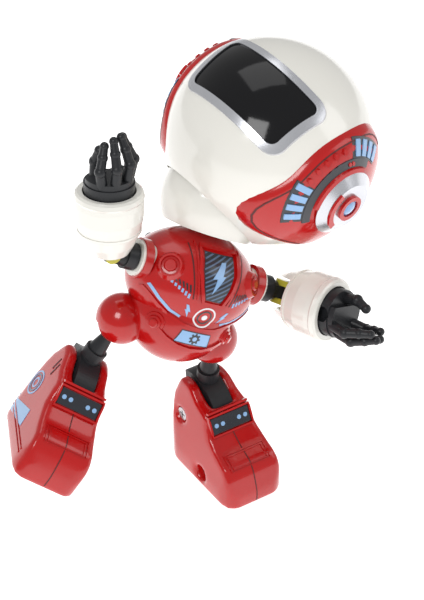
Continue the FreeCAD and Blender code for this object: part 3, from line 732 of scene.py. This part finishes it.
        self.add("gear_panel_rim", band(panel, 0.22, self.front, 0, height + 0.03, closed=True), PRINT_DARK)
        gear = patch(circle(1.15, self.gear_at, 24), self.front, 0, height + 0.05, 0.4)
        for i in range(self.gear_teeth):
            angle = math.tau * i / self.gear_teeth
            spoke = Vector((math.cos(angle), math.sin(angle)))
            wide = Vector((-spoke.y, spoke.x)) * 0.24
            tooth = [spoke * 1.0 - wide, spoke * 1.55 - wide, spoke * 1.55 + wide, spoke * 1.0 + wide]
            tooth = [(p.x + self.gear_at[0], p.y + self.gear_at[1]) for p in tooth]
            join(gear, patch(tooth, self.front, 0, height + 0.05))
        self.add("gear_mark", gear, PRINT_DARK)
        middle = patch(circle(0.62, self.gear_at, 16), self.front, 0, height + 0.09)
        self.add("gear_mark_middle", middle, PRINT_BLUE)

    def build(self) -> None:
        """Makes all of the torso's trim."""
        self.bosses()
        self.shield_plate()
        self.grooves()
        self.prints()


@dataclass(frozen=True)
class Boot:
    """One foot's rounded halves, its dotted panel, ribs and printed side."""

    name: str
    sign: int
    voxel: float = 0.5
    rounds: int = 14
    seam_gap: float = 0.02
    panel: tuple[float, float] = (11.8, 4.4)

    @property
    def place(self) -> Matrix:
        """The foot's own place."""
        return LEGS[self.name].frames(TORSO, self.sign)["foot"]

    def add(self, name: str, bm: bmesh.types.BMesh, look: Finish) -> None:
        """Finishes a piece of the foot."""
        finish_piece(f"boot_{self.name}_{name}", bm, look, f"foot_{self.name}", self.place)

    def halves(self) -> BVHTree:
        """The two rounded halves, cut from one rounded boot.

        Returns:
            The rounded boot's skin, for its trim.
        """
        nodes = {half: f"foot_{self.name}_{half}_half" for half in ("inner", "outer")}
        whole = bmesh.new()
        for node in nodes.values():
            whole.from_mesh(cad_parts[node].data)
        whole.transform(self.place.inverted() @ Matrix.Scale(1 / MM, 4))
        seam = [f for f in whole.faces if all(abs(v.co.x) < self.seam_gap for v in f.verts)]
        bmesh.ops.delete(whole, geom=seam, context="FACES")
        bmesh.ops.remove_doubles(whole, verts=whole.verts, dist=self.seam_gap)
        whole = melted(whole, self.voxel, self.rounds)
        skin = BVHTree.FromBMesh(whole)
        for half, keep in (("outer", self.sign), ("inner", -self.sign)):
            bm = whole.copy()
            bmesh.ops.bisect_plane(bm, geom=everything(bm), plane_co=(0, 0, 0), plane_no=(-keep, 0, 0),
                                   clear_outer=True)
            rim = [e for e in bm.edges if e.is_boundary]
            bmesh.ops.triangle_fill(bm, use_beauty=True, edges=rim, normal=(-keep, 0, 0))
            finish_piece(f"boot_{self.name}_{half}", bm, RED, f"foot_{self.name}", self.place,
                         (nodes[half],))
        whole.free()
        return skin

    def dotted_panel(self) -> None:
        """The dark plate over the instep with two pairs of dots, in a raised double border."""
        along, up = Vector((1, 0, 0)), Vector((0, 0.46, 0.888))
        face = Flat(Vector((0, -2.6, 19.9)), along, up)
        self.add("panel", patch(box_at((0, 0), *self.panel), face, -0.6, 0.35), PRINT_DARK)
        border = box_at((0, 0), self.panel[0] + 1.0, self.panel[1] + 1.2)
        self.add("panel_border", band(border, 0.55, face, -0.6, 0.65, closed=True), RED)
        top = [(-self.panel[0] / 2 - 0.4, 3.8), (self.panel[0] / 2 + 0.4, 3.8)]
        self.add("panel_band", band(top, 0.6, face, -0.6, 0.6), RED)
        dots = bmesh.new()
        for x in (-4.6, -2.6, 2.6, 4.6):
            join(dots, plate(circle(0.62, (x, 0), 20), face, 0.3, 0.5))
        self.add("dots", dots, PRINT_BLUE)

    def toe_ribs(self, skin: BVHTree) -> None:
        """Raised lines round the toe cap and over the instep.

        Args:
            skin: What they lie on.
        """
        cap = Skin(skin, Flat(Vector((0, -11.0, 11.75)), Vector((1, 0, 0)), Vector((0, 0.955, 0.295))))
        for grow in (0.0, 1.3):
            rim = box_at((0, 0), 10.6 + grow * 1.4, 4.4 + grow)
            self.add(f"toe_rim_{int(grow)}", band(rim, 0.36, cap, -0.5, 0.28, closed=True), RED)
        line = SeamLine()
        self.add("seam", band(line.route, 0.28, Skin(skin, line), -0.4, 0.06, cuts=8), GROOVE)

    def side_marks(self, skin: BVHTree) -> None:
        """The ring mark, stripes and slanted block printed on the outer flank.

        Args:
            skin: What they lie on.
        """
        flank = Skin(skin, FootSide(self.sign))
        for radius, width, look in ((3.3, 0.5, PRINT_BLUE), (2.4, 0.45, PRINT_GREY), (1.3, 0.5, PRINT_BLUE)):
            ring = band(circle(radius, (9.5, 14.0)), width, flank, 0, 0.12, closed=True, cuts=0)
            self.add(f"ring_{int(radius * 10)}", ring, look)
        for i in range(4):
            low = 3.0 + i * 1.1
            stripe = [(14.2, low), (15.4, low), (15.4, low + 0.6), (14.2, low + 0.6)]
            self.add(f"stripe_{i}", patch(stripe, flank, 0, 0.12), PRINT_BLUE)
        block = [(-1.5, 6.2), (11.5, 2.6), (12.6, 6.0), (0.6, 10.6)]
        self.add("block", patch(block, flank, 0, 0.12), PRINT_BLUE)
        for i, (low, high) in enumerate(((19.5, 23.4), (20.6, 24.2))):
            back = 6.2 + i * 1.6
            groove = [(back, low), (back + 0.6, low), (back + 0.6, high), (back, high)]
            self.add(f"flange_groove_{i}", patch(groove, flank, 0, 0.1), GROOVE)
        for i, z in enumerate((4.2, 5.4)):
            self.add(f"sole_rib_{i}", band([(-11.0, z), (12.0, z)], 0.45, flank, -0.3, 0.25), RED)

    def build(self) -> None:
        """Makes the whole boot."""
        skin = self.halves()
        self.dotted_panel()
        self.toe_ribs(skin)
        self.side_marks(skin)


@dataclass(frozen=True)
class Helmet:
    """The helmet's ear covers with their trim."""

    disc: float = 9.2
    rounds: int = 72
    rings: int = 16

    def reach(self, angle: float) -> float:
        """How far the cover runs from the disc's middle, in the direction angle degrees from up to front."""
        tail = 6.6 * math.exp(-((angle - 158) / 26) ** 2)
        horn = 2.6 * math.exp(-((angle - 10) / 32) ** 2)
        return 17.0 + tail + horn

    def add(self, name: str, bm: bmesh.types.BMesh, look: Finish, slot: str = "red_ear",
            replaces: tuple[str, ...] = ()) -> None:
        """Finishes a piece of the head."""
        finish_piece(name, bm, look, "head", HEAD, replaces)

    def spoke(self, angle: float, reach: float) -> tuple[float, float]:
        """The point (y, z) at an angle from up towards the front."""
        return -reach * math.sin(math.radians(angle)), reach * math.cos(math.radians(angle))

    def cover(self, side: str, sign: int) -> None:
        """The red cover, a closed skin between the disc's seat and its curved edge."""
        ear = Ear(sign)
        bm = bmesh.new()
        rows = []
        for i in range(self.rounds):
            angle = 360 * i / self.rounds
            reach = self.reach(angle if angle < 270 else angle - 360)
            row = []
            for j in range(self.rings + 1):
                part = j / self.rings
                a, b = self.spoke(angle, self.disc - 1.6 + (reach - self.disc + 1.6) * part)
                height = 1.0 * (1 - max(0.0, (part - 0.9) / 0.1) ** 2)
                row.append(bm.verts.new(ear.lift(a, b, height)))
            row.append(bm.verts.new(ear.lift(*self.spoke(angle, reach), -0.6)))
            row.append(bm.verts.new(ear.lift(*self.spoke(angle, self.disc - 1.6), -0.6)))
            rows.append(row)
        for this, following in zip(rows, rows[1:] + rows[:1]):
            for k in range(len(this)):
                k2 = (k + 1) % len(this)
                bm.faces.new((this[k], this[k2], following[k2], following[k]))
        self.add(f"ear_wing_{side}", bm, RED_PLASTIC, replaces=(f"ear_cover_{side}",))

    def arc(self, start: float, end: float, reach: float, step: float = 6) -> Outline:
        """A round route from one angle to another."""
        count = max(2, round(abs(end - start) / step))
        return [self.spoke(start + (end - start) * i / count, reach) for i in range(count + 1)]

    def trim(self, side: str, sign: int) -> None:
        """Dark arc, blue fans, bumps, inner groove and ribs on the cover."""
        ear = Ear(sign)
        self.add(f"ear_arc_{side}", band(self.arc(20, 165, 11.4), 1.9, ear, 0.9, 1.25, cuts=1), PRINT_DARK,
                 "black_satin")
        self.add(f"ear_rail_{side}", band(self.arc(30, 140, 9.9), 1.0, ear, 0.9, 2.0, cuts=1), RED_PLASTIC)
        edge = [self.spoke(a, self.reach(a) - 1.5) for a in range(0, 216, 6)]
        self.add(f"ear_groove_{side}", band(edge, 0.3, ear, 1.0, 1.06, cuts=1), GROOVE)
        for kind, first in (("low", 118), ("high", 8)):
            fan_back = self.arc(first - 3, first + 43, 14.6)
            self.add(f"ear_fan_{kind}_back_{side}", band(fan_back, 4.6, ear, 0.9, 1.12, cuts=1), PRINT_DARK,
                     "black_satin")
            blades = bmesh.new()
            for i in range(4):
                angle = first + 2 + i * 11
                run = [self.spoke(angle, 12.8), self.spoke(angle, 16.4)]
                join(blades, band(run, 1.7, ear, 1.0, 1.3, cuts=2))
            self.add(f"ear_fan_{kind}_{side}", blades, PRINT_BLUE, "light_blue")
        bumps = bmesh.new()
        for i in range(5):
            a, b = self.spoke(62 + i * 12, 14.6)
            join(bumps, plate(circle(0.75, (a, b), 6), ear, 0.9, 1.55))
        self.add(f"ear_bumps_{side}", bumps, RED_PLASTIC)
        dots = bmesh.new()
        for angle in (52, 58):
            join(dots, plate(circle(0.5, self.spoke(angle, 11.4), 14), ear, 1.2, 1.5))
        self.add(f"ear_dots_{side}", dots, RED_PLASTIC)
        tab = self.arc(95, 190, 6.3)
        face = Flat(Vector((29.6 * sign, 0, 0)), Vector((0, 1, 0)), Vector((0, 0, 1)))
        out = (0.2, 0.9) if sign > 0 else (-0.9, -0.2)
        self.add(f"ear_tab_{side}", band(tab, 1.5, face, *out, cuts=1), RED_PLASTIC)

    def build(self) -> None:
        """Makes both ears."""
        for side, sign in SIDES:
            self.cover(side, sign)
            self.trim(side, sign)


@dataclass(frozen=True)
class Arm:
    """One forearm cuff's thick rim and step line."""

    name: str
    sign: int
    mouth: float = 17.4

    def build(self) -> None:
        """Makes the trim of one cuff; it is turned about X, the way the arm points."""
        place = ARMS[self.name].frames(TORSO, self.sign)["forearm"] @ turn(Axis.Y, 90)
        rim = [(6.8, -1.2), (7.4, -0.3), (8.0, 0), (8.6, -0.4), (8.9, -1.4), (8.6, -2.0), (6.8, -2.0),
               (6.8, -1.2)]
        rim = [(radius, self.mouth + back) for radius, back in rim]
        body = f"forearm_{self.name}"
        finish_piece(f"cuff_rim_{self.name}", lathe(rim, 64), IVORY, body, place)
        step = [(7.2, 6.2), (8.05, 6.2), (8.25, 6.5), (8.25, 7.0), (7.2, 7.2), (7.2, 6.2)]
        finish_piece(f"cuff_step_{self.name}", lathe(step, 64), IVORY, body, place)


@dataclass(frozen=True)
class Studio:
    """Camera, floor and soft lights."""

    eye: tuple[float, float, float] = (-0.22285, -0.33673, 0.36312)
    right: tuple[float, float, float] = (0.83867, -0.54464, 0.0)
    up: tuple[float, float, float] = (0.32777, 0.50472, 0.79864)
    back: tuple[float, float, float] = (-0.43497, -0.66979, 0.60182)
    view_angle: float = 2 * math.atan(300 / 1949)
    glow: float = 0.9
    sky: float = 0.46

    def camera(self) -> None:
        """The camera, at the viewing angle."""
        data = bpy.data.cameras.new("camera")
        data.sensor_fit = "VERTICAL"
        data.angle = self.view_angle
        data.clip_start = 0.01
        camera = bpy.data.objects.new("camera", data)
        axes = Matrix((self.right, self.up, self.back)).transposed().to_4x4()
        camera.matrix_world = Matrix.Translation(self.eye) @ axes
        bpy.context.scene.collection.objects.link(camera)
        bpy.context.scene.camera = camera

    def floor(self) -> None:
        """A plain pale floor."""
        bm = bmesh.new()
        bmesh.ops.create_grid(bm, x_segments=1, y_segments=1, size=3.0)
        mesh = bpy.data.meshes.new("floor")
        bm.to_mesh(mesh)
        bm.free()
        plain = Finish("floor_card", (0.90, 0.895, 0.895), (0.88, 0.875, 0.875), 0.35, 0.05, grain=40,
                       relief=0.0)
        card = plain.material()
        shader = card.node_tree.nodes["Principled BSDF"]
        shader.inputs["Emission Color"].default_value = (1, 1, 1, 1)
        shader.inputs["Emission Strength"].default_value = self.glow
        mesh.materials.append(card)
        floor = bpy.data.objects.new("floor", mesh)
        bpy.context.scene.collection.objects.link(floor)

    def lights(self) -> None:
        """A big soft key from the upper left, a fill from the right and a top light."""
        target = Vector((0, 0, 0.06))
        for name, place, size, power in (("key", (-0.55, -0.35, 0.75), 0.35, 3.4),
                                         ("fill", (0.6, -0.5, 0.45), 0.45, 1.1),
                                         ("top", (0.1, 0.3, 0.9), 0.5, 1.2)):
            data = bpy.data.lights.new(name, "AREA")
            data.size = size
            data.energy = power
            light = bpy.data.objects.new(name, data)
            light.location = place
            light.rotation_euler = (target - Vector(place)).to_track_quat("-Z", "Y").to_euler()
            bpy.context.scene.collection.objects.link(light)

    def world(self) -> None:
        """The pale world all round, and plain colour out."""
        world = bpy.data.worlds.new("studio")
        world.use_nodes = True
        sky = world.node_tree.nodes["Background"]
        sky.inputs["Color"].default_value = (1, 1, 1, 1)
        sky.inputs["Strength"].default_value = self.sky
        bpy.context.scene.world = world
        bpy.context.scene.view_settings.view_transform = "Standard"

    def build(self) -> None:
        """Sets the studio up."""
        self.camera()
        self.floor()
        self.lights()
        self.world()


def main() -> None:
    """Builds the robot's looks, then the studio round it."""
    logging.basicConfig(level=logging.INFO, format="%(name)s: %(message)s")
    FrameDress().build()
    Torso().build()
    for side, sign in SIDES:
        Boot(side, sign).build()
        Arm(side, sign).build()
    Helmet().build()
    Studio().build()


if __name__ == "__main__":
    main()
